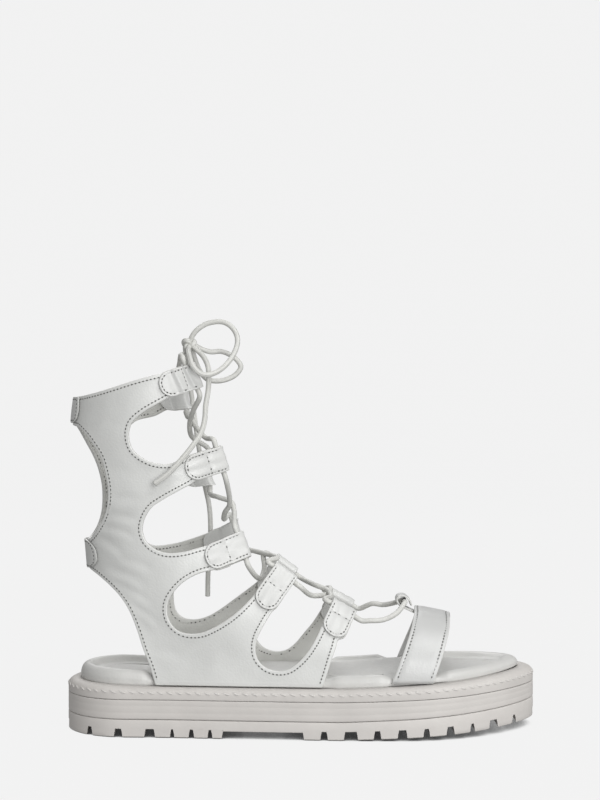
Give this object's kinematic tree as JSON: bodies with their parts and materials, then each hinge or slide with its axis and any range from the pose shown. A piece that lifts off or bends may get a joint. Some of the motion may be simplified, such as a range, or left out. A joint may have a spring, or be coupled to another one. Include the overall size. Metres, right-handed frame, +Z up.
{
  "type": "gladiator sandal",
  "caption": "High lace-up gladiator sandal: open leather shaft of fingers with folded loop tabs, toe strap, round lace tied in a bow, padded footbed on a lugged platform sole",
  "frame": {"origin": "bottom centre of the shoe's box, on the plane of the tread", "axes": "+X from heel to toe, +Y towards the medial side (the inner side of a right foot), +Z up"},
  "size_m": [0.27, 0.0972, 0.2345],
  "materials": {
    "leather": "satin",
    "lining": "satin",
    "sole": "matte",
    "lace": "satin"
  },
  "bodies": {
    "root": {"outsole": "sole", "midsole": "sole", "welt": "sole", "footbed": "lining", "upper": "leather", "collar_back_strip": "leather", "heel_patch": "leather", "toe_strap": "leather", "toe_loop": "leather", "loop_tab_lateral_1": "leather", "loop_tab_lateral_2": "leather", "loop_tab_lateral_3": "leather", "loop_tab_lateral_4": "leather", "loop_tab_lateral_5": "leather", "loop_tab_medial_1": "leather", "loop_tab_medial_2": "leather", "loop_tab_medial_3": "leather", "loop_tab_medial_4": "leather", "loop_tab_medial_5": "leather", "lace_toe": "lace", "lace_neck": "lace", "lace_crossing_1_2": "lace", "lace_crossing_2_3": "lace", "lace_crossing_3_4": "lace", "lace_crossing_4_5": "lace", "bow_knot": "lace", "bow_loop_front": "lace", "bow_loop_rear": "lace", "lace_end_lateral": "lace", "lace_end_medial": "lace"}
  },
  "joints": []
}
